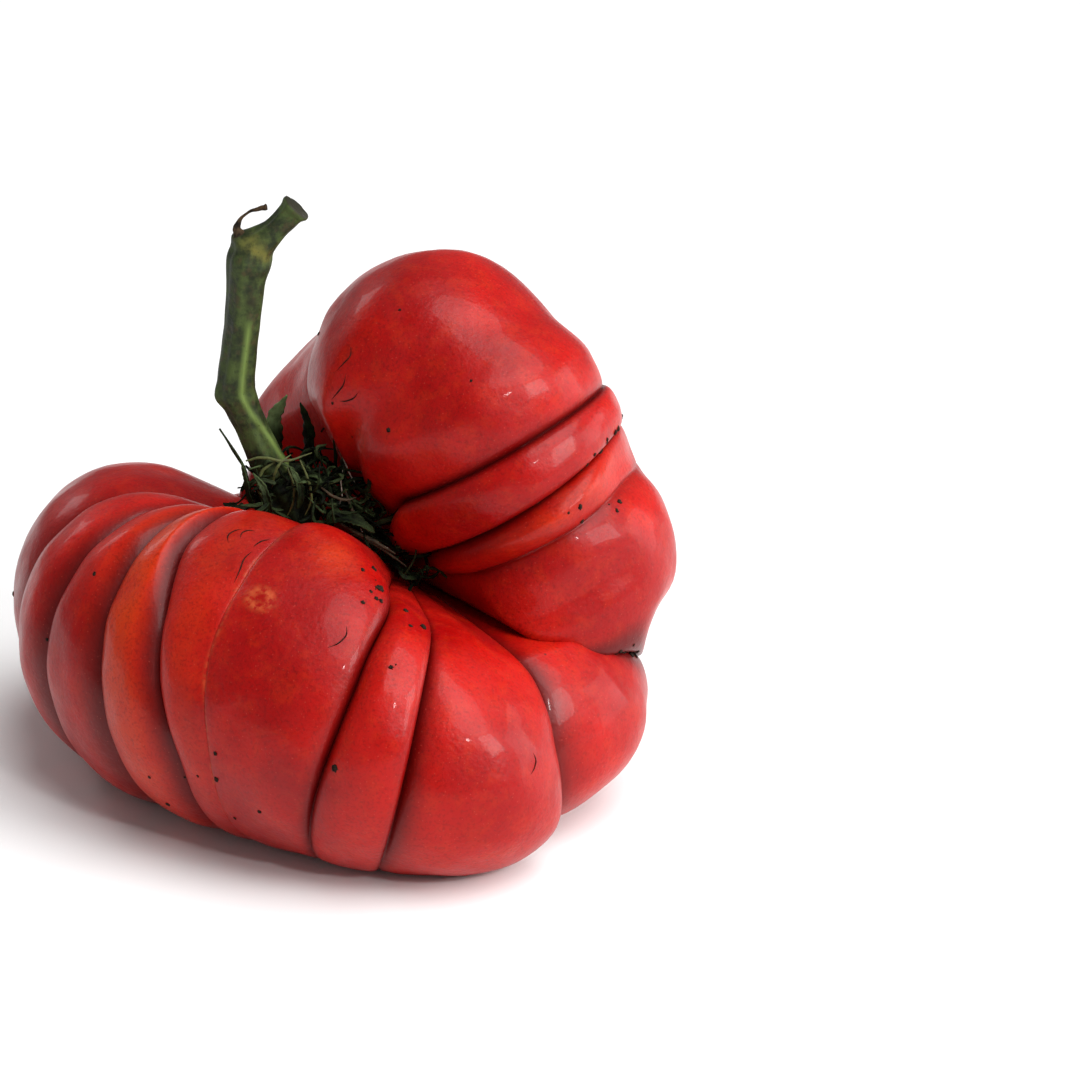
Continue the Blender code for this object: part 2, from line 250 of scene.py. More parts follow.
# Threads and strips over the calyx: radius in mm, kind (0 green, 1 brown, 2 white), points.
THREADS = (
    (0.30, 0, ((-19.7, 11.0, 66.2), (-16.5, 10.5, 67.1), (-11.8, 10.0, 66.6), (-6.8, 11.6, 67.7))),
    (0.28, 0, ((-14.7, 10.5, 61.0), (-13.9, 9.6, 64.5), (-12.7, 9.8, 66.4), (-10.9, 11.0, 67.5))),
    (0.32, 0, ((-16.4, 11.0, 57.8), (-17.5, 10.4, 61.0), (-16.4, 10.2, 64.5), (-13.6, 10.4, 66.4))),
    (0.26, 0, ((-9.1, 10.5, 66.6), (-7.6, 9.4, 63.0), (-7.0, 9.0, 59.0), (-8.4, 9.4, 55.4))),
    (0.24, 0, ((-11.6, 9.6, 65.6), (-10.4, 8.8, 62.0), (-10.6, 8.6, 58.4), (-12.0, 9.4, 55.0))),
    (0.30, 1, ((-0.6, 12.0, 60.0), (0.4, 10.4, 57.4), (1.4, 9.8, 55.0), (3.4, 9.0, 51.4))),
    (0.45, 1, ((-1.6, 10.4, 53.2), (1.6, 8.6, 52.2), (5.4, 7.4, 50.6), (9.4, 6.2, 48.6))),
    (0.30, 1, ((0.6, 9.4, 51.6), (4.2, 7.8, 50.6), (7.6, 7.2, 48.6), (11.6, 5.4, 46.2))),
    (0.28, 1, ((-5.6, 10.0, 61.6), (-3.0, 9.4, 59.6), (-0.4, 9.6, 58.6), (1.8, 10.6, 58.8))),
    (0.14, 2, ((-1.5, 16.6, 66.0), (-0.7, 15.4, 64.3), (0.2, 14.0, 62.6), (1.4, 13.0, 60.8))),
    (0.12, 2, ((-0.9, 14.8, 63.8), (-1.4, 13.2, 61.0), (-1.2, 12.0, 58.6), (-1.8, 11.2, 56.8))),
    (0.12, 2, ((2.0, 9.6, 54.4), (3.2, 8.4, 51.6), (6.0, 7.2, 50.4), (8.0, 6.6, 49.6))),
)

# Fine dark scratches on the skin, each a line of (place, share) pairs.
SCRATCHES = (
    ((6.90, 0.15), (6.88, 0.17), (6.87, 0.187), (6.89, 0.205)),
    ((6.84, 0.158), (6.80, 0.166), (6.77, 0.18), (6.77, 0.194)),
    ((6.95, 0.20), (6.93, 0.22), (6.92, 0.236), (6.94, 0.25)),
    ((1.725, 0.236), (1.71, 0.226), (1.715, 0.215), (1.73, 0.206)),
    ((1.75, 0.222), (1.742, 0.212), (1.752, 0.203), (1.77, 0.198)),
    ((1.832, 0.29), (1.826, 0.268), (1.816, 0.25), (1.822, 0.232)),
    ((1.812, 0.226), (1.816, 0.214), (1.826, 0.204), (1.842, 0.196)),
    ((2.31, 0.33), (2.33, 0.318), (2.34, 0.30), (2.33, 0.286)),
    ((3.08, 0.43), (3.10, 0.415), (3.11, 0.40), (3.10, 0.386)),
)

# Clusters of soil crumbs on the skin: place, share, spread along, spread down, count.
CRUMBS = (
    (5.73, 0.57, 0.02, 0.05, 20),
    (4.47, 0.34, 0.04, 0.06, 20),
    (2.335, 0.185, 0.010, 0.010, 3),
    (2.36, 0.20, 0.05, 0.05, 7),
    (2.58, 0.30, 0.06, 0.10, 6),
    (1.75, 0.60, 0.25, 0.06, 8),
    (5.45, 0.38, 0.10, 0.10, 6),
    (0.80, 0.45, 0.30, 0.15, 6),
    (7.00, 0.30, 0.40, 0.20, 8),
    (9.50, 0.45, 1.20, 0.25, 20),
)
CRUMB_GRID = (5, 8)
# Radius of a scratch in mm, and the points that its line is read at.
SCRATCH_RADIUS, SCRATCH_POINTS = 0.16, 24

# Colours that no user would change.
SOIL_SPECK = (0.02, 0.006, 0.004)
DEAD_BARK = (0.020, 0.018, 0.008)
PALE_LEAF = (0.16, 0.23, 0.09)
BROWN_LEAF = (0.022, 0.015, 0.006)
# Dry, matt stuff: dark and light colour, then size and depth of its grain in metres.
DRY_STUFF = {
    "soil": ((0.004, 0.002, 0.001), (0.028, 0.015, 0.009), 0.0006, 0.0002),
    "scratch": ((0.010, 0.002, 0.001), (0.06, 0.008, 0.004), 0.0008, 0.0001),
    "dry_twig": ((0.012, 0.009, 0.006), (0.075, 0.045, 0.022), 0.0015, 0.0003),
}
# Green, brown and off-white threads.
THREAD_COLOURS = ((0.085, 0.10, 0.022), (0.075, 0.048, 0.022), (0.62, 0.52, 0.42))

# Stage, in metres: half the floor's width, and how far it lies below the fruit.
FLOOR_HALF, FLOOR_DROP = 6.0, 0.0002
CAMERA_PLACE = (0.0397, -0.5508, 0.2713)
CAMERA_TILT = 22.0
LENS, SENSOR = 100.0, 36.0
LIGHT_TARGET = (0.0, 0.0, 0.05)
SUN_DIRECTION = (0.35, -0.15, 0.85)
SUN_WIDTH = 50.0
# Lamps: name, place, width, share of the lamp power.
LAMPS = (
    ("window", (0.80, -0.42, 0.50), 0.36, 0.60),
    ("side", (0.95, 0.15, 0.26), 0.50, 0.35),
    ("glint", (0.42, -0.62, 0.55), 0.06, 0.14),
    ("back", (-0.7, 0.7, 0.6), 0.3, 0.12),
)


# ---- shared shape helpers

def ease(x):
    """A step from 0 to 1 with level ends."""
    x = np.clip(x, 0.0, 1.0)
    return x * x * (3.0 - 2.0 * x)


def unit(vectors):
    """The same directions at length one."""
    return vectors / (np.linalg.norm(vectors, axis=-1, keepdims=True) + 1e-12)


def to_scene(points):
    """Table millimetres to scene metres, centred on the Z axis."""
    return (np.asarray(points, dtype=float) - (*MIDDLE, 0.0)) * MM


def bell(x, centre, spread):
    """A smooth bump of height one."""
    return np.exp(-((x - centre) / spread) ** 2)


def waves(points, scale, seed):
    """Soft uneven field between about -1 and 1: six sine waves in seeded directions."""
    rng = np.random.default_rng(seed)
    field = np.zeros(points.shape[:-1])
    for _ in range(6):
        direction = unit(rng.normal(size=3)) * rng.uniform(0.7, 1.6) / scale
        field += np.sin(points @ direction * 2 * math.pi + rng.uniform(0, 2 * math.pi))
    return field / 3.0


def closed_faces(rows, columns):
    """Faces of a closed tube of rings with a pole point at each end."""
    i = np.arange(columns)
    j = (i + 1) % columns
    last = 1 + rows * columns
    r = np.arange(rows - 1)[:, None] * columns + 1
    quads = np.stack((r + i, r + columns + i, r + columns + j, r + j), axis=-1).reshape(-1, 4)
    top = np.stack((np.zeros_like(i), 1 + i, 1 + j), axis=-1)
    bottom = np.stack((np.full_like(i, last), last - columns + j, last - columns + i), axis=-1)
    return quads.tolist() + top.tolist() + bottom.tolist()


def open_faces(rows, columns):
    """Faces of an open sheet of points."""
    i = np.arange(columns - 1)
    r = np.arange(rows - 1)[:, None] * columns
    quads = np.stack((r + i, r + i + 1, r + columns + i + 1, r + columns + i), axis=-1)
    return quads.reshape(-1, 4).tolist()


def merged(parts):
    """Points, faces and one number per point, of many small parts as one mesh."""
    points, faces, values, first = [], [], [], 0
    for grid, own_faces, value in parts:
        points.append(grid)
        faces += (np.array(face) + first for face in own_faces)
        values.append(np.broadcast_to(value, len(grid)))
        first += len(grid)
    return np.vstack(points), [face.tolist() for face in faces], np.concatenate(values)


def make_piece(name, points, faces, material, fields=None):
    """A smooth mesh object from scene points, with its number fields as attributes."""
    mesh = bpy.data.meshes.new(name)
    mesh.from_pydata(points.tolist(), [], faces)
    mesh.validate()
    mesh.polygons.foreach_set("use_smooth", [True] * len(mesh.polygons))
    for key, values in (fields or {}).items():
        field = mesh.attributes.new(key, "FLOAT", "POINT")
        field.data.foreach_set("value", values.astype(np.float32))
    mesh.materials.append(material)
    piece = bpy.data.objects.new(name, mesh)
    bpy.context.scene.collection.objects.link(piece)
    return piece


def add_piece(piece, slot, *nodes):
    """Ride on the one body, and stand for CAD nodes; slot is not used."""
    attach(piece, "root")
    if nodes:
        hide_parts(*nodes)


def thicken(piece, thickness):
    """Give an open sheet its thickness, half to each side."""
    wall = piece.modifiers.new("thickness", "SOLIDIFY")
    wall.thickness = thickness
    wall.offset = 0.0


def along_points(points, count):
    """Points on a smooth curve through the given ones (Catmull-Rom), extra columns too."""
    route = np.asarray(points, dtype=float)
    size = len(route)
    route = np.vstack((2 * route[0] - route[1], route, 2 * route[-1] - route[-2]))
    place = np.linspace(0, size - 1, count)
    first = np.minimum(place.astype(int), size - 2)
    t = (place - first)[:, None]
    p0, p1, p2, p3 = (route[first + k] for k in range(4))
    return 0.5 * (
        2 * p1 + (p2 - p0) * t
        + (2 * p0 - 5 * p1 + 4 * p2 - p3) * t ** 2
        + (3 * p1 - p0 - 3 * p2 + p3) * t ** 3
    )


def path_frame(where):
    """Directions to the front and to the right of a route, square to it."""
    along = unit(np.gradient(where, axis=0))
    front = unit(np.array((0.0, -1.0, 0.0)) + along * along[:, 1:2])
    return front, unit(np.cross(along, front))


def rod_grid(stations, size, radius):
    """Rings round a route. A ring point is route + r (front cos a + right sin a).

    size is the number of rings and of sides. radius(t, a, r) gives r from the share t
    along, the angle a and the table's radius.
    """
    rings, sides = size
    path = along_points(stations, rings)
    where = path[:, :3]
    front, right = path_frame(where)
    t = np.linspace(0, 1, rings)[:, None]
    a = np.linspace(2 * math.pi, 0, sides, endpoint=False)[None]
    r = radius(t, a, path[:, 3:])[..., None]
    grid = where[:, None] + r * (
        np.cos(a)[..., None] * front[:, None] + np.sin(a)[..., None] * right[:, None]
    )
    return grid, where, np.broadcast_to(t, r.shape[:2]), np.broadcast_to(a, r.shape[:2])


def rod_points(grid, where, reach=0.0):
    """Ring points between two end points, the last one moved out by some ring steps."""
    last = where[-1] + (where[-1] - where[-2]) * reach
    return np.vstack((where[:1], grid.reshape(-1, 3), last[None]))


# ---- material helpers

def new_material(name, **values):
    """A material whose shader sockets take the given fixed values."""
    material = bpy.data.materials.new(name)
    material.use_nodes = True
    shader = material.node_tree.nodes["Principled BSDF"]
    for key, value in values.items():
        shader.inputs[key.replace("_", " ")].default_value = value
    return material, shader


class Nodes:
    """Short ways to add and join shader nodes."""

    def __init__(self, material):
        self.tree = material.node_tree
        self.object = self.add("ShaderNodeTexCoord").outputs["Object"]

    def add(self, kind, **settings):
        """One node with its settings."""
        node = self.tree.nodes.new(kind)
        for key, value in settings.items():
            setattr(node, key, value)
        return node

    def join(self, source, target):
        """Link a socket, or set a fixed value."""
        if isinstance(source, bpy.types.NodeSocket):
            self.tree.links.new(source, target)
        else:
            target.default_value = source

    def feed(self, node, inputs):
        """Link or set several inputs of a node by name."""
        for key, source in inputs.items():
            self.join(source, node.inputs[key])

    def field(self, name):
        """A number field of the mesh."""
        return self.add("ShaderNodeAttribute", attribute_name=name).outputs["Fac"]

    def noise(self, size, detail=3.0, roughness=0.55):
        """Soft noise whose blotches are about size metres wide."""
        node = self.add("ShaderNodeTexNoise")
        self.feed(node, {"Vector": self.object, "Scale": 1.0 / size, "Detail": detail})
        self.feed(node, {"Roughness": roughness})
        return node.outputs["Fac"]

    def cells(self, size):
        """Distance to scattered points about size metres apart."""
        node = self.add("ShaderNodeTexVoronoi")
        self.feed(node, {"Vector": self.object, "Scale": 1.0 / size})
        return node.outputs["Distance"]

    def ramp(self, source, low, high, start=0.0, end=1.0):
        """A smooth step of a number from low to high."""
        node = self.add("ShaderNodeMapRange", interpolation_type="SMOOTHSTEP", clamp=True)
        self.feed(node, {"Value": source, "From Min": low, "From Max": high})
        self.feed(node, {"To Min": start, "To Max": end})
        return node.outputs["Result"]

    def math(self, operation, a, b):
        """One sum on two numbers."""
        node = self.add("ShaderNodeMath", operation=operation)
        self.join(a, node.inputs[0])
        self.join(b, node.inputs[1])
        return node.outputs[0]

    def mix(self, factor, a, b):
        """Two colours mixed by a factor."""
        node = self.add("ShaderNodeMix", data_type="RGBA")
        self.join(factor, node.inputs["Factor"])
        for value, slot in ((a, 6), (b, 7)):
            if not isinstance(value, bpy.types.NodeSocket):
                value = (*value, 1.0)
            self.join(value, node.inputs[slot])
        return node.outputs[2]

    def bump(self, height, strength, distance, normal=None):
        """A bump of a height field, distance in metres."""
        node = self.add("ShaderNodeBump")
        self.feed(node, {"Height": height, "Strength": strength, "Distance": distance})
        if normal is not None:
            self.join(normal, node.inputs["Normal"])
        return node.outputs["Normal"]


def skin_material(settings):
    """Waxy tomato skin: red with orange ribs, painted shade in the creases and the cleft, painted
    pale highlights along rib edges, fine grain and dirt specks.
    """
    material, shader = new_material(
        "tomato_skin", Subsurface_Weight=0.10, Subsurface_Scale=0.003,
        Subsurface_Radius=(1.0, 0.10, 0.05), IOR=1.29, Coat_Weight=0.22, Coat_Roughness=0.07,
        Coat_IOR=1.3,
    )
    n = Nodes(material)
    broad = n.noise(0.022, 2.0)
    fine = n.noise(0.0035, 4.0, 0.6)
    colour = n.mix(n.ramp(broad, 0.35, 0.65), settings.deep_red, settings.red)
    uneven = n.ramp(n.noise(0.006, 3.0), 0.25, 0.6, 0.55, 1.0)
    colour = n.mix(n.math("MULTIPLY", n.field("orange"), uneven), colour, settings.orange)
    colour = n.mix(n.math("MULTIPLY", n.ramp(fine, 0.45, 0.7), 0.18), colour, settings.orange)
    # painted shade: the fold field mixes dark red in towards the creases and in the cleft under the
    # upper arm
    fold = n.field("fold")
    colour = n.mix(n.ramp(fold, 0.10, 0.85, 0.0, 0.92), colour, settings.crease)
    # painted highlight: the rim field lays pale colour along the left edges of the first ribs and
    # along the top lobe's edge
    rim = n.math("MULTIPLY", n.field("rim"), n.ramp(n.noise(0.004), 0.3, 0.6, 0.35, 0.8))
    colour = n.mix(rim, colour, settings.pale_dots_and_edge_highlight)
    dots = n.cells(0.0011)
    colour = n.mix(n.ramp(dots, 0.06, 0.16, 0.22, 0.0), colour, settings.pale_dots_and_edge_highlight)
    grain = n.noise(0.0006, 2.0)
    colour = n.mix(n.ramp(grain, 0.45, 0.75, 0.0, 0.40), colour, settings.crease)
    scar = n.field("scar")
    cork = n.math("MULTIPLY", scar, n.ramp(n.noise(0.0012, 3.0), 0.35, 0.6))
    colour = n.mix(cork, colour, settings.scar)
    speck = n.ramp(n.cells(0.009), 0.03, 0.05, 1.0, 0.0)
    speck = n.math("MULTIPLY", speck, n.ramp(n.noise(0.02), 0.5, 0.6))
    colour = n.mix(speck, colour, SOIL_SPECK)
    n.join(colour, shader.inputs["Base Color"])
    rough = n.ramp(n.noise(0.008, 4.0), 0.3, 0.7, 0.34, 0.52)
    rough = n.math("ADD", rough, n.math("MULTIPLY", scar, 0.2))
    n.join(rough, shader.inputs["Roughness"])
    bumps = n.bump(n.noise(0.0007, 3.0), 0.35, 0.00015)
    bumps = n.bump(n.noise(0.003, 3.0), 0.45, 0.0004, bumps)
    bumps = n.bump(scar, 0.4, 0.0002, bumps)
    n.join(bumps, shader.inputs["Normal"])
    return material


def stem_material(settings):
    """Mottled green stem bark with a painted pale highlight stripe, a yellow joint and brown ends.
    """
    material, shader = new_material("stem_bark", Specular_IOR_Level=0.25)
    n = Nodes(material)
    mottle = n.noise(0.004, 5.0, 0.65)
    colour = n.mix(n.ramp(mottle, 0.38, 0.62), settings.dark_green, settings.green)
    colour = n.mix(n.ramp(n.noise(0.0018, 4.0), 0.52, 0.72, 0.0, 0.7), colour, settings.brown)
    # painted highlight: a pale green stripe along the stem's lit side
    colour = n.mix(n.field("highlight_stripe"), colour, settings.highlight_stripe)
    joint = n.math("MULTIPLY", n.field("joint"), n.ramp(mottle, 0.3, 0.6))
    colour = n.mix(joint, colour, settings.joint)
    colour = n.mix(n.field("wound"), colour, DEAD_BARK)
    colour = n.mix(n.ramp(n.cells(0.0011), 0.12, 0.22, 0.35, 0.0), colour, settings.dark_green)
    n.join(colour, shader.inputs["Base Color"])
    n.join(n.ramp(mottle, 0.3, 0.7, 0.5, 0.72), shader.inputs["Roughness"])
    bumps = n.bump(n.noise(0.0022, 5.0, 0.7), 0.6, 0.0005)
    bumps = n.bump(n.noise(0.0005, 2.0), 0.3, 0.00015, bumps)
    n.join(bumps, shader.inputs["Normal"])
    return material


def leaf_material(settings):
    """Dry leaf: dark green, made nearly black as painted shade of the cleft, with paler veins and
    edges and brown spots.
    """
    material, shader = new_material("calyx_leaf", Roughness=0.7, Specular_IOR_Level=0.12)
    n = Nodes(material)
    mottle = n.noise(0.003, 5.0, 0.65)
    colour = n.mix(n.ramp(mottle, 0.42, 0.66), settings.leaf, settings.leaf_edge)
    colour = n.mix(n.math("MULTIPLY", n.field("vein"), 0.8), colour, settings.leaf_edge)
    pale = n.math("MULTIPLY", n.field("pale"), n.ramp(mottle, 0.3, 0.55, 0.4, 1.0))
    colour = n.mix(pale, colour, PALE_LEAF)
    colour = n.mix(n.ramp(n.noise(0.0012, 3.0), 0.6, 0.75, 0.0, 0.4), colour, BROWN_LEAF)
    n.join(colour, shader.inputs["Base Color"])
    n.join(n.bump(n.noise(0.0008, 4.0, 0.7), 0.6, 0.0003), shader.inputs["Normal"])
    return material


def dry_material(name):
    """Dry, matt, uneven stuff, such as a dead twig or soil."""
    dark, light, size, depth = DRY_STUFF[name]
    material, shader = new_material(name, Roughness=0.85, Specular_IOR_Level=0.15)
    n = Nodes(material)
    mottle = n.noise(size, 4.0, 0.65)
    n.join(n.mix(n.ramp(mottle, 0.35, 0.65), dark, light), shader.inputs["Base Color"])
    n.join(n.bump(mottle, 0.7, depth), shader.inputs["Normal"])
    return material


def thread_material():
    """Threads: yellow green at kind 0, brown at 1 and off-white at 2."""
    material, shader = new_material("calyx_thread", Roughness=0.7)
    n = Nodes(material)
    kind = n.field("kind")
    green, brown, white = THREAD_COLOURS
    colour = n.mix(n.ramp(kind, 0.3, 0.7), green, brown)
    colour = n.mix(n.ramp(kind, 1.3, 1.7), colour, white)
    mottle = n.noise(0.0015, 4.0, 0.65)
    colour = n.mix(n.ramp(mottle, 0.45, 0.7, 0.0, 0.75), colour, DEAD_BARK)
    n.join(colour, shader.inputs["Base Color"])
    n.join(n.bump(mottle, 0.6, 0.0002), shader.inputs["Normal"])
    return material


# ---- fruit

def ring_at(place):
    """Ring values and their slope on a closed cubic B-spline."""
    first = np.floor(place).astype(int)
    t = (place - first)[..., None]
    near = [RING[(first + k) % len(RING)] for k in (-1, 0, 1, 2)]
    weights = (
        (1 - t) ** 3 / 6,
        (3 * t ** 3 - 6 * t ** 2 + 4) / 6,
        (-3 * t ** 3 + 3 * t ** 2 + 3 * t + 1) / 6,
        t ** 3 / 6,
    )
    slopes = (
        -(1 - t) ** 2 / 2,
        (3 * t ** 2 - 4 * t) / 2,
        (-3 * t ** 2 + 2 * t + 1) / 2,
        t ** 2 / 2,
    )
    value = sum(w * row for w, row in zip(weights, near))
    slope = sum(w * row for w, row in zip(slopes, near))
    return value, slope


def rib_at(place):
    """Number of the rib at a place, and the way across it from -1 to 1."""
    place = np.mod(place - RIB_START[0], len(RING)) + RIB_START[0]
    rib = np.searchsorted(RIB_START, place, side="right") - 1
    rib = np.clip(rib, 0, len(RIB_START) - 1)
    return rib, (place - RIB_START[rib]) / (RIB_END[rib] - RIB_START[rib]) * 2 - 1


def crease_shape(place, share):
    """Radius share taken away by the creases beside a rib, and its sideways lap in mm.

    With x from 0 in the middle of the rib to 1 at the crease, a sharp crease takes
    1 - sqrt(1 - x^p) of its depth, where p is higher on the side that laps over its
    neighbour, and a soft crease an even step. The lap is largest just before the crease.
    """
    rib, across = rib_at(place)
    depth = np.zeros_like(place)
    lap = np.zeros_like(place)
    fade = ease((share - CREASE_FADE[0]) / (CREASE_FADE[1] - CREASE_FADE[0]))
    for sign, side, number in ((-1, -across, rib), (1, across, (rib + 1) % len(CREASES))):
        crease = CREASES[number]
        near = np.clip(side, 0.0, 1.0)
        over = sign * crease[..., 3]
        power = np.where(over > 0, LAPPING_SIDE, np.where(over < 0, LAPPED_SIDE, PLAIN_SIDE))
        fold = 1 - np.sqrt(np.clip(1 - near ** power, 0.0, 1.0))
        shape = fold * (1 - crease[..., 2]) + ease(near) * crease[..., 2]
        reach = ease(share / CREASE_START) * (1 - (1 - crease[..., 4]) * fade)
        depth += crease[..., 1] * shape * reach
        lap += sign * np.maximum(over, 0) * ease((near - 0.45) / 0.4) * (1 - near ** 14) * reach
    return depth, lap


def pushed(place, share):
    """Sum of the pushes: bells in place and share, closed off at the rib's own creases."""
    rib, across = rib_at(place)
    inside = np.sqrt(np.clip(1 - across ** 4, 0.0, 1.0))
    total = np.zeros((*place.shape, 3))
    for at, down, wide, tall, x, y, z, own in PUSHES:
        way = np.mod(place - at + len(RING) / 2, len(RING)) - len(RING) / 2
        weight = bell(way, 0.0, wide) * bell(share, down, tall)
        if own:
            weight = weight * inside * (rib == rib_at(np.array([at]))[0])
        total += weight[..., None] * np.array((x, y, z))
    return total


def slant(place, share):
    """How far along the ring the skin at a place and share is carried."""
    return sum(
        bell(place, at, wide) * (above + (below - above) * ease((share - start) / width))
        for at, wide, start, width, above, below in SLANTS
    )


def fruit_points(place, share, crease_scale):
    """Skin points in millimetres at a place along the ring and a share of the way down.

    The section is an ellipse round the ring's centre, from inside the hollow over the
    top to the underside, less its crease depth, plus laps, pushes, dents and a slight
    unevenness. Both its ends are drawn to the poles, and the skin is pressed flat where
    it meets the table.
    """
    ring, slope = ring_at(place + slant(place, share))
    centre = ring[..., :3]
    along = unit(slope[..., :3])
    outward = centre - HEART
    outward = unit(outward - np.sum(outward * along, -1, keepdims=True) * along)
    upward = unit(np.cross(outward, along))
    turn = np.radians(ring[..., 5] + (SECTION_END - ring[..., 5]) * share)[..., None]
    skin = ring[..., 3:4] * np.cos(turn) * outward + ring[..., 4:5] * np.sin(turn) * upward
    depth, lap = crease_shape(place, share)
    skin = skin * (1 - crease_scale * depth)[..., None] + lap[..., None] * along
    swell = sum(
        height * bell(place, at, wide) * bell(share, down, tall)
        for at, down, wide, tall, height in DENTS
    )
    skin = skin + unit(skin) * swell[..., None]
    away = unit(skin)
    skin = centre + skin + pushed(place, share)
    uneven = sum(height * waves(skin, length, seed) for height, length, seed in UNEVENNESS)
    skin += away * uneven[..., None]
    to_stem = ease(1 - share / STEM_POLE_SHARE)[..., None]
    to_blossom = ease((share - 1 + BLOSSOM_POLE_SHARE) / BLOSSOM_POLE_SHARE)[..., None]
    skin = skin * (1 - to_stem - to_blossom) + to_stem * STEM_POLE + to_blossom * BLOSSOM_POLE
    skin[..., 2] = np.maximum(skin[..., 2], 0.0)
    return skin


def rib_places(columns):
    """Places along the ring, closer together at the creases."""
    step = np.arange(columns) / columns
    crowded = 0.5 - 0.5 * np.cos(math.pi * step)
    step = step + (crowded - step) * COLUMN_CROWDING
    return (RIB_START[:, None] + (RIB_END - RIB_START)[:, None] * step).ravel()


def fruit_fields(place, share):
    """Number fields for the skin's colour, by place and share: painted crease shade, orange, painted
    edge highlight and scars.
    """
    rib, across = rib_at(place)
    near = np.abs(across)
    reach = ease(share / CREASE_START)
    after = CREASES[(rib + 1) % len(CREASES), 3]
    lapped_shade_side = (across > 0) & (after < 0) & (rib < SHADED_LAPPED_RIBS)
    # painted shade: the fold field darkens the skin towards each crease, and over the whole lapped
    # side of the first ribs, less under the fruit
    fold = np.where(lapped_shade_side, near ** 0.95, near ** 4) * reach
    beside = CREASES[np.where(across > 0, (rib + 1) % len(CREASES), rib)]
    fold *= np.clip(beside[..., 1] / 0.16, 0, 1) * (1 - beside[..., 2])
    fold *= 1 - 0.6 * ease((share - 0.55) / 0.4)
    # painted shadow in the cleft under the upper arm
    for at, wide, end, strength in PAINTED_SHADE_PATCHES:
        fold += strength * bell(place, at, wide) * ease((end - share) / 0.15)
    orange = sum(
        strength * bell(place, at, wide) * bell(share, down, tall)
        for at, wide, down, tall, strength in ORANGE_PATCHES
    )
    # painted highlight: pale lines along the left edges of the first ribs and along the top lobe's
    # edge
    left_edge_highlight = bell(across, -0.93, 0.05) * (rib < HIGHLIT_EDGE_RIBS)
    rim = left_edge_highlight * bell(share, 0.40, 0.30) * 0.6
    lobe_edge_highlight = bell(place, LOBE_EDGE, 0.012) * bell(share, 0.10, 0.20)
    rim += 0.9 * lobe_edge_highlight * (place < LOBE_CREASE)
    scar_line = bell(place, SCAR_LINE + 0.01 * np.sin(share * 40), 0.010)
    scar_line *= ease((0.75 - share) / 0.2) * ease((share - 0.12) / 0.05)
    way = np.hypot((place - SCAR_RING[0]) * 22, (share - SCAR_RING[1]) * 75)
    scar = np.clip(0.3 * scar_line + 0.6 * bell(way, 0.95, 0.45), 0, 1)
    return {"fold": np.clip(fold, 0, 1), "orange": np.clip(orange, 0, 1), "rim": rim, "scar": scar}


def make_fruit(settings):
    """The fruit's fine skin as one closed surface from stem pole to blossom pole."""
    place = rib_places(settings.columns)
    share = np.arange(1, FRUIT_ROWS) / FRUIT_ROWS
    place, share = np.meshgrid(place, share)
    skin = fruit_points(place, share, settings.crease_scale)
    points = np.vstack((STEM_POLE[None], skin.reshape(-1, 3), BLOSSOM_POLE[None]))
    fields = {
        key: np.concatenate(([0.0], value.ravel(), [0.0]))
        for key, value in fruit_fields(place, share).items()
    }
    faces = closed_faces(*place.shape)
    piece = make_piece("tomato_skin", to_scene(points), faces, skin_material(settings), fields)
    add_piece(piece, "skin", "fruit")


def skin_normals(place, share, scale):
    """Outward directions of the skin, from two small steps along it."""
    step = 0.004
    along = fruit_points(place + step, share, scale) - fruit_points(place - step, share, scale)
    down = fruit_points(place, share + step, scale) - fruit_points(place, share - step, scale)
    return unit(np.cross(down, along))


def make_crumbs(settings):
    """Soil crumbs and dark specks: lumpy, flattened balls half sunk in the skin."""
    rng = np.random.default_rng(8)
    place, share = np.hstack([
        rng.normal(size=(2, count)) * [[wide], [tall]] + [[at], [down]]
        for at, down, wide, tall, count in CRUMBS
    ])
    size = rng.uniform(0.18, 0.50, len(place)) * rng.choice((1.0, 1.6), len(place))
    centre = fruit_points(place, share, settings.crease_scale)
    normal = skin_normals(place, share, settings.crease_scale)
    rings, sides = CRUMB_GRID
    polar = np.linspace(0, math.pi, rings + 2)[1:-1, None]
    a = np.linspace(0, 2 * math.pi, sides, endpoint=False)[None]
    ball = np.sin(polar) * np.cos(a), np.sin(polar) * np.sin(a), np.cos(polar)
    ball = np.stack(np.broadcast_arrays(*ball), axis=-1)
    ball = np.vstack(((0.0, 0.0, 1.0), ball.reshape(-1, 3), (0.0, 0.0, -1.0)))
    lumps = ball * (1 + 0.25 * rng.normal(size=(len(place), len(ball), 1)).clip(-1, 1))
    lumps *= size[:, None, None]
    flat = lumps - 0.45 * np.sum(lumps * normal[:, None], -1, keepdims=True) * normal[:, None]
    grids = centre[:, None] + flat
    grids[..., 2] = np.maximum(grids[..., 2], 0.0)
    points, faces, _ = merged([(grid, closed_faces(*CRUMB_GRID), 0.0) for grid in grids])
    piece = make_piece("soil_crumbs", to_scene(points), faces, dry_material("soil"))
    add_piece(piece, "skin")


def make_scratches(settings):
    """Fine dark scratches: thin rods that follow the skin, half sunk in it."""
    parts = []
    for route in SCRATCHES:
        place, share = along_points(route, SCRATCH_POINTS).T
        where = fruit_points(place, share, settings.crease_scale)
        size = SCRATCH_RADIUS * np.sin(np.linspace(0.1, math.pi - 0.1, SCRATCH_POINTS))
        stations = np.column_stack((where, size))
        grid, middle, _, _ = rod_grid(stations, SCRATCH_GRID, lambda t, a, r: r + 0.0 * a)
        parts.append((rod_points(grid, middle), closed_faces(*SCRATCH_GRID), 0.0))
    points, faces, _ = merged(parts)
    piece = make_piece("skin_scratches", to_scene(points), faces, dry_material("scratch"))
    add_piece(piece, "skin")


# ---- stem and twig

def stripe_angle(t):
    """Angle of the stem's pale cord, which carries the painted highlight stripe: near the front,
    further right near the calyx.
    """
    return 0.38 + 0.75 * ease((0.30 - t) / 0.30)


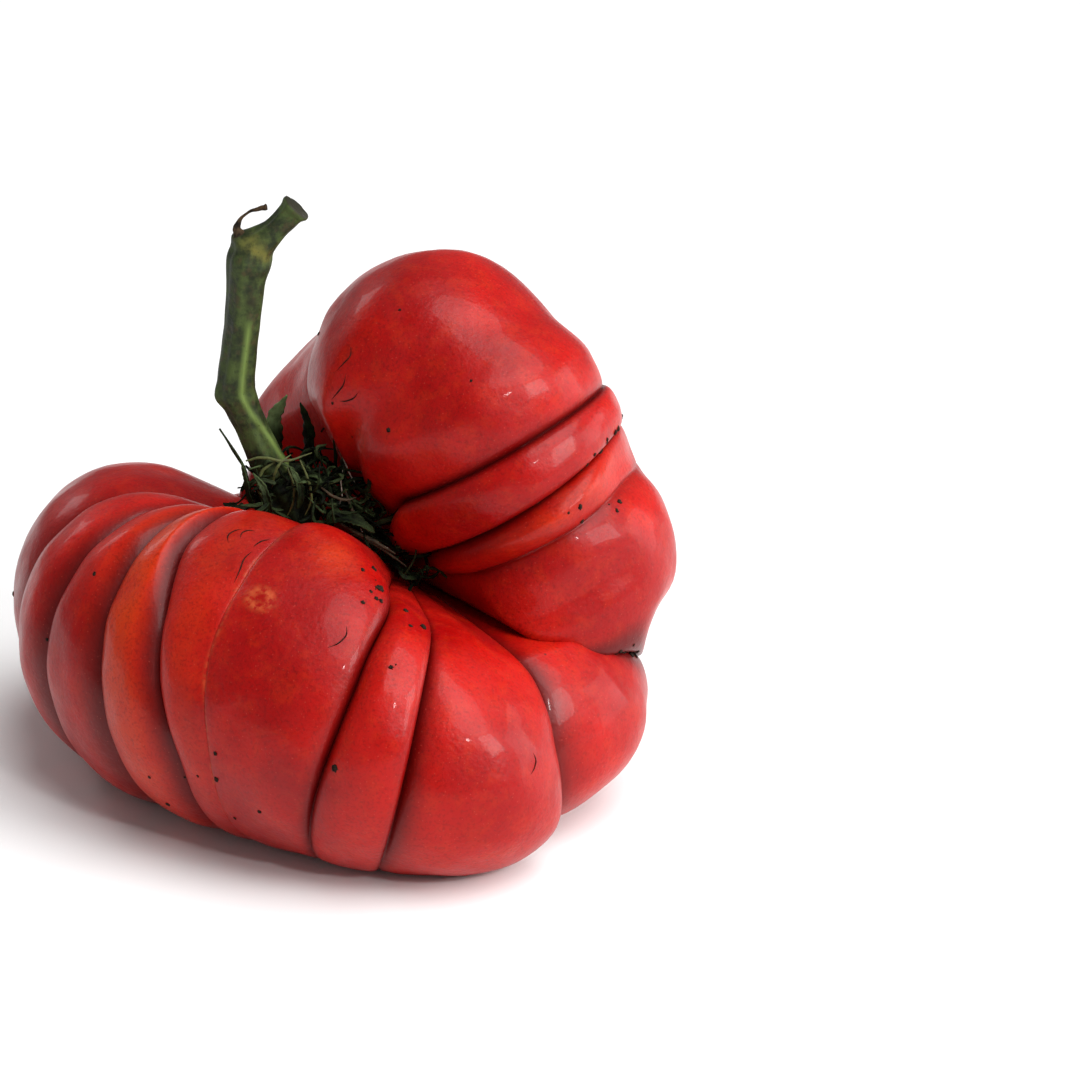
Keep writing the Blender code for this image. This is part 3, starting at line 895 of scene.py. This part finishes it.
def stem_radius(t, a, r):
    """Stem radius: five soft ridges, a raised front cord, an elbow and a flared end."""
    ridges = 1 + 0.05 * np.cos(5 * a + 3 * t) + 0.03 * np.cos(9 * a - 7 * t)
    cord = 0.10 * bell(a, stripe_angle(t), 0.30) * ease((0.60 - t) / 0.1)
    elbow = 0.18 * bell(t, 0.30, 0.030) * bell(np.cos(a + math.pi / 2), 1.0, 0.5)
    knuckle = 0.34 * bell(t, 0.755, 0.022) * bell(np.cos(a + math.pi / 2), 1.0, 0.35)
    rim = 0.16 * bell(t, 0.985, 0.02)
    bark = 0.02 * np.sin(31 * t + 2 * a) * np.sin(47 * t - a)
    return r * (ridges + cord + elbow + knuckle + rim + bark)


def rod_piece(name, grid, where, material, fields, reach=0.0):
    """A closed rod from its grid of rings, its last end moved out by some ring steps."""
    fields = {
        key: np.concatenate((value.ravel()[:1], value.ravel(), value.ravel()[-1:]))
        for key, value in fields.items()
    }
    points = rod_points(grid, where, reach)
    return make_piece(name, to_scene(points), closed_faces(*grid.shape[:2]), material, fields)


def make_stem(settings):
    """The stem with its ridges, painted highlight stripe, swollen joint and flared cut end."""
    grid, where, t, a = rod_grid(STEM, STEM_GRID, stem_radius)
    # painted highlight: the pale stripe along the stem's lit side
    highlight_stripe = bell(a, stripe_angle(t), 0.17) * ease((0.56 - t) / 0.06)
    wound = 0.9 * bell(t, 0.585, 0.012) * bell(a, 0.45, 0.35) + ease((t - 0.99) / 0.01)
    joint = bell(t, STEM_JOINT, 0.03) * bell(np.cos(a - 0.2), 1.0, 0.7)
    fields = {"highlight_stripe": 0.85 * highlight_stripe, "wound": np.clip(wound, 0, 1), "joint": joint}
    piece = rod_piece("stem_bark", grid, where, stem_material(settings), fields, -2.0)
    add_piece(piece, "stem", "stem")


def make_twig():
    """The dried side twig: a broad foot, a thin loop and a thick withered tip."""
    def radius(t, a, r):
        return r * (1 + 0.12 * np.cos(3 * a + 9 * t) + 0.10 * np.sin(40 * t + a))

    grid, where, _, _ = rod_grid(SIDE_TWIG, TWIG_GRID, radius)
    piece = rod_piece("side_twig_bark", grid, where, dry_material("dry_twig"), {})
    add_piece(piece, "dry_twig", "side_twig")


# ---- calyx

def make_calyx_base(settings):
    """The swelling under the stem, with ten soft flutes."""
    def radius(t, a, r):
        return r * (0.96 + 0.05 * np.cos(10 * a + 4 * t) + 0.03 * np.sin(3 * a + 11 * t))

    grid, where, t, a = rod_grid(CALYX_BASE, BASE_GRID, radius)
    material = leaf_material(settings)
    vein = np.clip(np.cos(10 * a + 4 * t), 0, 1) ** 4 * 0.5
    fields = {"vein": vein, "pale": 0.0 * vein}
    piece = rod_piece("calyx_base_leaf", grid, where, material, fields)
    add_piece(piece, "calyx", "calyx_base")
    return material


def blade_points(midrib, half_width, seed, curl, size):
    """A pointed leaf blade: across the midrib it curls like a trough, with wavy edges.

    A point is midrib + width s across + height, with s from -1 to 1 from edge to edge.
    The height is curl width s^2, a flutter that grows with the cube of s, and the vein.
    """
    rows, columns = size
    rng = np.random.default_rng(seed)
    where = along_points(midrib, rows)
    along = unit(np.gradient(where, axis=0))
    chord = unit(where[-1] - where[0])
    facing = where[0] - CALYX_BASE[2, :3] + np.array((0.0, 0.0, 10.0))
    facing = facing - chord * np.dot(facing, chord)
    across = unit(np.cross(along, facing))
    normal = np.cross(across, along)
    t = np.linspace(0, 1, rows)[:, None]
    s = np.linspace(-1, 1, columns)[None]
    width = half_width * (0.52 + 1.7 * t) * np.clip(1 - t, 0.004, 1) ** 0.8
    notch = 1 + 0.10 * np.sin(t * 60 + rng.uniform(0, 6)) + 0.08 * np.sin(t * 23 + rng.uniform(0, 6))
    trough = curl * width * s ** 2 * (0.4 + 0.8 * t)
    flutter = 0.22 * width * np.abs(s) ** 3 * np.sin(t * 19 + s * 2 + rng.uniform(0, 6))
    vein = bell(s, 0.0, 0.12)
    side = (width * notch * s)[..., None] * across[:, None]
    lift = (trough + flutter + 0.12 * vein)[..., None] * normal[:, None]
    return where[:, None] + side + lift, np.broadcast_to(vein + 0.5 * np.abs(s) ** 6, size)


def make_sepals(settings, material):
    """Every sepal as a thin curled blade in place of its plain solid."""
    for number, (midrib, half_width, pale) in enumerate(SEPALS, start=1):
        grid, vein = blade_points(midrib, half_width, number, settings.curl, SEPAL_GRID)
        tip = pale * ease(np.linspace(-1.5, 1.8, SEPAL_GRID[0]))[:, None]
        fields = {"vein": vein.ravel(), "pale": np.broadcast_to(tip, SEPAL_GRID).ravel()}
        name = f"sepal_leaf_{number:02d}"
        points = to_scene(grid.reshape(-1, 3))
        piece = make_piece(name, points, open_faces(*SEPAL_GRID), material, fields)
        thicken(piece, settings.thickness)
        add_piece(piece, "calyx", f"sepal_{number:02d}")


def make_shreds(settings, material):
    """Small curled, torn shreds of leaf heaped along the cleft, all in one mesh."""
    rng = np.random.default_rng(21)
    parts = []
    for x, y, z, spread, count in SHREDS:
        for _ in range(count):
            start = np.array((x, y, z)) + rng.normal(size=3) * (spread, 0.7 * spread, 0.7 * spread)
            way = unit(rng.normal(size=3) * (1.0, 0.5, 0.8) + (0.2, -0.1, 0.1))
            way *= rng.uniform(3.0, 8.5)
            bend = rng.normal(size=3) * 1.3
            midrib = start + np.array((0.0, 0.33, 0.67, 1.0))[:, None] * way
            midrib[1:3] += bend
            half_width, seed = rng.uniform(0.12, 0.55), rng.integers(999)
            grid, _ = blade_points(midrib, half_width, seed, 1.2, SHRED_GRID)
            pale = 0.5 * rng.uniform(0.0, 1.0) ** 6
            parts.append((grid.reshape(-1, 3), open_faces(*SHRED_GRID), pale))
    points, faces, pale = merged(parts)
    fields = {"pale": pale, "vein": 0.3 * pale}
    piece = make_piece("calyx_shreds", to_scene(points), faces, material, fields)
    thicken(piece, settings.thickness)
    add_piece(piece, "calyx")


def make_threads():
    """Loose green threads, brown strips and white hairs over the calyx."""
    def radius(t, a, r):
        return r * (1 + 0.25 * np.sin(37 * t + a) * np.cos(2 * a + 9 * t))

    parts = []
    for size, kind, route in THREADS:
        stations = np.column_stack((route, (0.6 * size, size, size, 0.3 * size)))
        grid, where, _, _ = rod_grid(stations, THREAD_GRID, radius)
        parts.append((rod_points(grid, where), closed_faces(*THREAD_GRID), float(kind)))
    points, faces, kind = merged(parts)
    points = to_scene(points)
    piece = make_piece("calyx_threads", points, faces, thread_material(), {"kind": kind})
    add_piece(piece, "calyx")


# ---- stage

def make_floor(settings):
    """A wide pale floor."""
    material, shader = new_material("pale_floor", Roughness=0.9, Specular_IOR_Level=0.1)
    shader.inputs["Base Color"].default_value = (*settings.floor_colour, 1.0)
    corners = np.array([(-1.0, -1.0), (1.0, -1.0), (1.0, 1.0), (-1.0, 1.0)]) * FLOOR_HALF
    points = np.column_stack((corners, np.full(4, -FLOOR_DROP)))
    floor = make_piece("floor", points, [(0, 1, 2, 3)], material)


def add_light(name, place, size, power):
    """A square soft light that looks at the middle of the tomato."""
    lamp = bpy.data.lights.new(name, "AREA")
    lamp.size = size
    lamp.energy = power
    light = bpy.data.objects.new(name, lamp)
    light.location = place
    way = Vector(LIGHT_TARGET) - Vector(place)
    light.rotation_euler = way.to_track_quat("-Z", "Y").to_euler()
    bpy.context.scene.collection.objects.link(light)


def add_sun(strength):
    """One wide soft light from a direction, equal all over the floor."""
    lamp = bpy.data.lights.new("sun", "SUN")
    lamp.angle = math.radians(SUN_WIDTH)
    lamp.energy = strength
    light = bpy.data.objects.new("sun", lamp)
    light.rotation_euler = Vector(SUN_DIRECTION).to_track_quat("Z", "Y").to_euler()
    bpy.context.scene.collection.objects.link(light)


def add_camera():
    """A long lens that looks slightly down at the front."""
    lens = bpy.data.cameras.new("camera")
    lens.lens = LENS
    lens.sensor_width = SENSOR
    camera = bpy.data.objects.new("camera", lens)
    camera.location = CAMERA_PLACE
    camera.rotation_euler = (math.radians(90.0 - CAMERA_TILT), 0.0, 0.0)
    bpy.context.scene.collection.objects.link(camera)
    bpy.context.scene.camera = camera


# ---- add-on

def colour_property(name, description, default):
    """A colour setting."""
    return FloatVectorProperty(
        name=name, description=description, default=default, size=3, min=0.0, max=1.0,
        subtype="COLOR",
    )


class FruitSettings(PropertyGroup):
    """Sizes and colours of the fruit's skin."""

    columns: IntProperty(
        name="Columns per rib", description="How finely each rib is made", default=COLUMNS_PER_RIB,
        min=8, max=32,
    )
    crease_scale: FloatProperty(
        name="Crease depth", description="Scale of every crease between ribs", default=1.0,
        min=0.0, max=1.5, subtype="FACTOR",
    )
    red: colour_property("Red", "Bright red of the skin", (0.45, 0.005, 0.002))
    deep_red: colour_property("Deep red", "Darker red of the skin", (0.30, 0.001, 0.001))
    orange: colour_property("Orange", "Riper orange on the front ribs", (0.56, 0.036, 0.002))
    # painted shade: the dark red mixed in along the creases and in the cleft; it is also the colour
    # of the fine dark grain
    crease: colour_property("Crease", "Dark red deep in the creases", (0.10, 0.001, 0.001))
    # pale dots of the skin, and also the painted pale highlight along rib edges
    pale_dots_and_edge_highlight: colour_property("Bloom", "Pale dots and edges on the skin", (0.66, 0.11, 0.07))
    scar: colour_property("Scar", "Healed corky marks", (0.62, 0.12, 0.035))


class StemSettings(PropertyGroup):
    """Colours of the stem."""

    green: colour_property("Green", "Lighter green of the bark", (0.055, 0.082, 0.020))
    dark_green: colour_property("Dark green", "Dark green of the bark", (0.014, 0.022, 0.007))
    brown: colour_property("Brown", "Dry spots on the bark", (0.060, 0.045, 0.018))
    # painted highlight stripe along the stem's lit side
    highlight_stripe: colour_property("Stripe", "Pale green stripe", (0.16, 0.24, 0.055))
    joint: colour_property("Joint", "Yellow green on the swollen joint", (0.13, 0.12, 0.022))


class CalyxSettings(PropertyGroup):
    """Sizes and colours of the calyx."""

    # dark green of the dry leaves, darkened further towards black as painted shade of the cleft, and
    # the leaf edge colour with it
    leaf: colour_property("Leaf", "Dark green of the dry leaves", (0.0018, 0.0030, 0.0011))
    leaf_edge: colour_property("Leaf edge", "Paler veins and edges", (0.014, 0.024, 0.006))
    curl: FloatProperty(
        name="Curl", description="How far the edges of a sepal turn up", default=0.5,
        min=0.0, max=1.0, subtype="FACTOR",
    )
    thickness: FloatProperty(
        name="Thickness", description="Thickness of a sepal", default=0.0003, min=0.0001, max=0.001,
        unit="LENGTH", subtype="DISTANCE",
    )


class StageSettings(PropertyGroup):
    """Floor and lights."""

    floor_colour: colour_property("Floor", "Colour of the floor", (0.90, 0.90, 0.90))
    sun: FloatProperty(name="Sun", description="Strength of the wide light", default=2.65, min=0.0)
    key_power: FloatProperty(
        name="Lamp power", description="Power that the lamps share out", default=9.0,
        min=0.0, unit="POWER",
    )
    sky: FloatProperty(name="Sky", description="Strength of the even light", default=0.22, min=0.0)


class TOMATO_OT_fruit(Operator):
    """Make the fruit's skin"""

    bl_idname = "tomato.fruit"
    bl_label = "Fruit"

    def execute(self, context):
        make_fruit(context.scene.tomato_fruit)
        return {"FINISHED"}


class TOMATO_OT_marks(Operator):
    """Make the soil crumbs and the fine scratches on the skin"""

    bl_idname = "tomato.marks"
    bl_label = "Crumbs and scratches"

    def execute(self, context):
        make_crumbs(context.scene.tomato_fruit)
        make_scratches(context.scene.tomato_fruit)
        return {"FINISHED"}


class TOMATO_OT_stem(Operator):
    """Make the stem and its dry side twig"""

    bl_idname = "tomato.stem"
    bl_label = "Stem and twig"

    def execute(self, context):
        make_stem(context.scene.tomato_stem)
        make_twig()
        return {"FINISHED"}


class TOMATO_OT_calyx(Operator):
    """Make the calyx base and its sepals"""

    bl_idname = "tomato.calyx"
    bl_label = "Calyx"

    def execute(self, context):
        material = make_calyx_base(context.scene.tomato_calyx)
        make_sepals(context.scene.tomato_calyx, material)
        make_shreds(context.scene.tomato_calyx, material)
        make_threads()
        return {"FINISHED"}


class TOMATO_OT_stage(Operator):
    """Make the floor, the lights and the camera"""

    bl_idname = "tomato.stage"
    bl_label = "Stage"

    def execute(self, context):
        settings = context.scene.tomato_stage
        make_floor(settings)
        add_sun(settings.sun)
        for name, place, size, part in LAMPS:
            add_light(name, place, size, part * settings.key_power)
        world = context.scene.world or bpy.data.worlds.new("sky")
        context.scene.world = world
        world.use_nodes = True
        background = world.node_tree.nodes["Background"]
        background.inputs["Color"].default_value = (1.0, 1.0, 1.0, 1.0)
        background.inputs["Strength"].default_value = settings.sky
        context.scene.view_settings.view_transform = "Standard"
        add_camera()
        return {"FINISHED"}


OPERATORS = (TOMATO_OT_fruit, TOMATO_OT_marks, TOMATO_OT_stem, TOMATO_OT_calyx, TOMATO_OT_stage)


class TOMATO_PT_panel(Panel):
    """Lists the pieces of the tomato"""

    bl_label = "Tomato"
    bl_idname = "TOMATO_PT_panel"
    bl_space_type = "VIEW_3D"
    bl_region_type = "UI"
    bl_category = "Tomato"

    def draw(self, context):
        for operator in OPERATORS:
            self.layout.operator(operator.bl_idname)


SETTINGS = {
    "tomato_fruit": FruitSettings,
    "tomato_stem": StemSettings,
    "tomato_calyx": CalyxSettings,
    "tomato_stage": StageSettings,
}


def register():
    """Register the settings, the operators and the panel."""
    for name, kind in SETTINGS.items():
        bpy.utils.register_class(kind)
        setattr(bpy.types.Scene, name, PointerProperty(type=kind))
    for kind in (*OPERATORS, TOMATO_PT_panel):
        bpy.utils.register_class(kind)


def unregister():
    """Take everything out again."""
    for kind in reversed((*OPERATORS, TOMATO_PT_panel)):
        bpy.utils.unregister_class(kind)
    for name, kind in SETTINGS.items():
        delattr(bpy.types.Scene, name)
        bpy.utils.unregister_class(kind)


def main():
    """Build every piece."""
    register()
    bpy.ops.tomato.fruit()
    bpy.ops.tomato.marks()
    bpy.ops.tomato.stem()
    bpy.ops.tomato.calyx()
    bpy.ops.tomato.stage()


if __name__ == "__main__":
    main()
